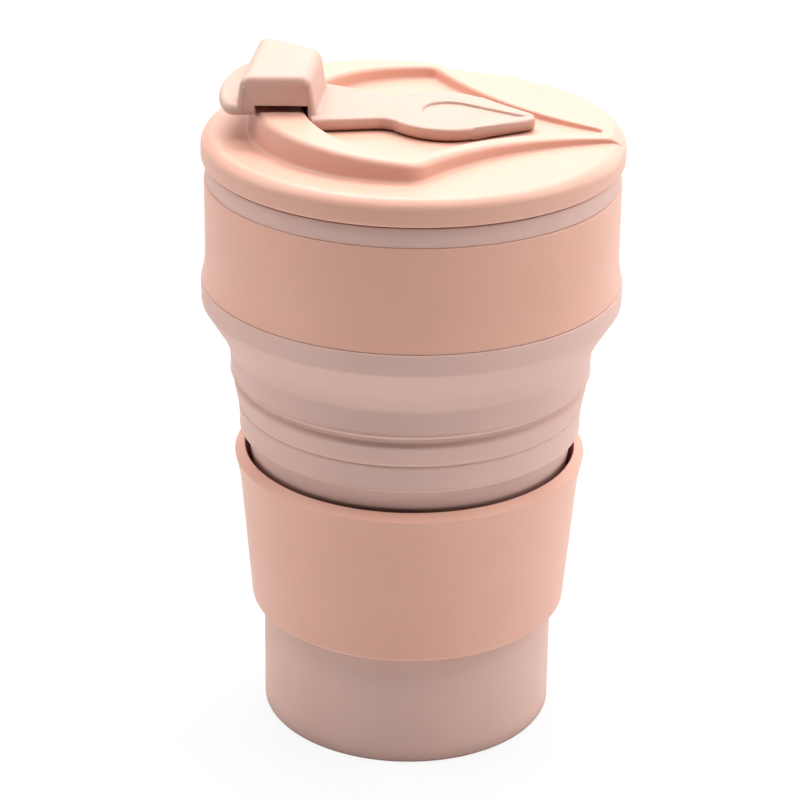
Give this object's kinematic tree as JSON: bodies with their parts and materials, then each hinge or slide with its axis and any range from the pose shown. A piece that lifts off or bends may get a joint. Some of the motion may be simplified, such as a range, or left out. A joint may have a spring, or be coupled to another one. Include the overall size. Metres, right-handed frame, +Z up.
{
  "type": "collapsible travel cup",
  "caption": "Collapsible travel cup: a folding silicone cup with a plastic rim band and heat sleeve, and a lid with a soft flip-up stopper over its drinking hole.",
  "frame": {"origin": "centre of the base's flat underside, on the table", "axes": "+Z up the cup's axis, X along the stopper's strap with the drinking hole on the -X side, Y across the lid"},
  "size_m": [0.0908, 0.0908, 0.1499],
  "materials": {
    "silicone": "matte silicone, pinkish beige",
    "plastic": "satin plastic, peach",
    "stopper": "matte silicone, light pinkish beige",
    "seal": "translucent pale silicone"
  },
  "bodies": {
    "cup_base": {"base_cup": "silicone", "lower_fold": "silicone"},
    "cup_rim": {"rim_collar": "silicone", "upper_fold": "silicone", "upper_band": "plastic"},
    "sleeve": {"heat_sleeve": "plastic"},
    "lid": {"lid_shell": "plastic", "lid_seal_ring": "seal", "stopper_anchor": "stopper"},
    "stopper": {"stopper_cap": "stopper"}
  },
  "joints": [
    {"name": "collapse", "type": "slide", "parent": "cup_base", "child": "cup_rim", "axis": [0, 0, -1], "range_m": [0, 0.04], "deforming": ["upper_fold"]},
    {"name": "sleeve_slide", "type": "slide", "parent": "cup_base", "child": "sleeve", "axis": [0, 0, -1], "range_m": [0, 0.065]},
    {"name": "lid_lift", "type": "slide", "parent": "cup_rim", "child": "lid", "axis": [0, 0, 1], "range_m": [0, 0.06]},
    {"name": "stopper_flip", "type": "hinge", "parent": "lid", "child": "stopper", "pos_m": [-0.00576, 0, 0.13901], "axis": [0, 1, 0], "range_deg": [0, 120]}
  ]
}
